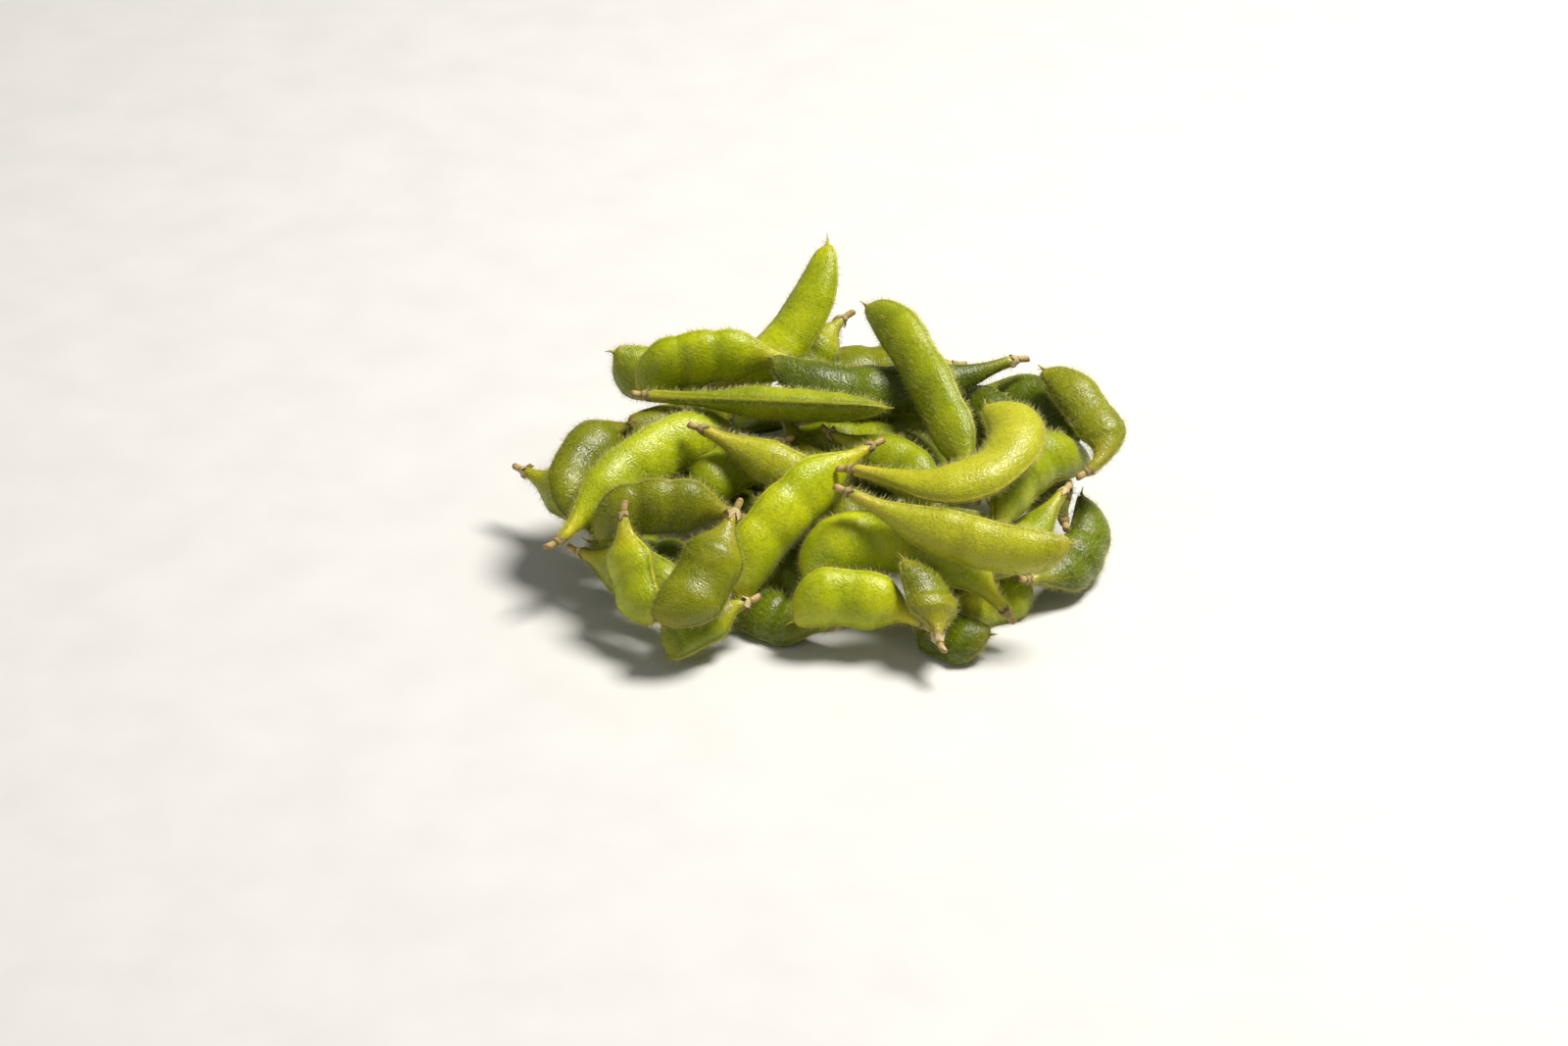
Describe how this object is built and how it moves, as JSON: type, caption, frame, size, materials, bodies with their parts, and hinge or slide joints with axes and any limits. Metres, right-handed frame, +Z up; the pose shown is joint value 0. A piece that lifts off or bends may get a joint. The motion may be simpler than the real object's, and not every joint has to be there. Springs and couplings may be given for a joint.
{
  "type": "edamame pod bundle",
  "caption": "Heap of fresh green soybean pods, bulged over their beans and downy, with dry calyx stubs and beaked tips, resting on a flat surface.",
  "frame": {"origin": "middle of the heap's bounding box, on the surface that it rests on", "axes": "+Z up; -Y towards the front, the side that the picture shows; +X to the picture's right"},
  "size_m": [0.1398, 0.1276, 0.0543],
  "materials": {
    "pod_deep": "deep green pod skin in the heap's depth, downy satin",
    "pod_green": "mid green pod skin, downy satin, with frosted seams",
    "pod_olive": "dull olive green pod skin, downy, with a few brown specks",
    "pod_bright": "bright yellow-green pod skin, downy satin",
    "pod_yellow": "pale yellow-green pod skin, downy satin"
  },
  "bodies": {
    "root": {"pod_01": "pod_deep", "pod_02": "pod_green", "pod_03": "pod_olive", "pod_04": "pod_deep", "pod_05": "pod_green", "pod_06": "pod_olive", "pod_07": "pod_deep", "pod_08": "pod_green", "pod_09": "pod_olive", "pod_10": "pod_deep", "pod_11": "pod_green", "pod_12": "pod_olive", "pod_13": "pod_deep", "pod_14": "pod_green", "pod_15": "pod_olive", "pod_16": "pod_deep", "pod_17": "pod_deep", "pod_18": "pod_deep", "pod_19": "pod_green", "pod_20": "pod_deep", "pod_21": "pod_deep", "pod_22": "pod_deep", "pod_23": "pod_deep", "pod_24": "pod_deep", "pod_25": "pod_deep", "pod_26": "pod_green", "pod_27": "pod_deep", "pod_28": "pod_green", "pod_29": "pod_green", "pod_30": "pod_deep", "pod_31": "pod_deep", "pod_32": "pod_green", "pod_33": "pod_green", "pod_34": "pod_olive", "pod_35": "pod_olive", "pod_36": "pod_bright", "pod_37": "pod_bright", "pod_38": "pod_green", "pod_39": "pod_olive", "pod_40": "pod_green", "pod_41": "pod_green", "pod_42": "pod_bright", "pod_43": "pod_deep", "pod_44": "pod_green", "pod_45": "pod_green", "pod_46": "pod_green", "pod_47": "pod_olive", "pod_48": "pod_yellow", "pod_49": "pod_bright", "pod_50": "pod_green", "pod_51": "pod_olive", "pod_52": "pod_green", "pod_53": "pod_bright", "pod_54": "pod_green", "pod_55": "pod_olive", "pod_56": "pod_bright", "pod_57": "pod_yellow", "pod_58": "pod_yellow", "pod_59": "pod_bright", "pod_60": "pod_olive"}
  },
  "joints": []
}
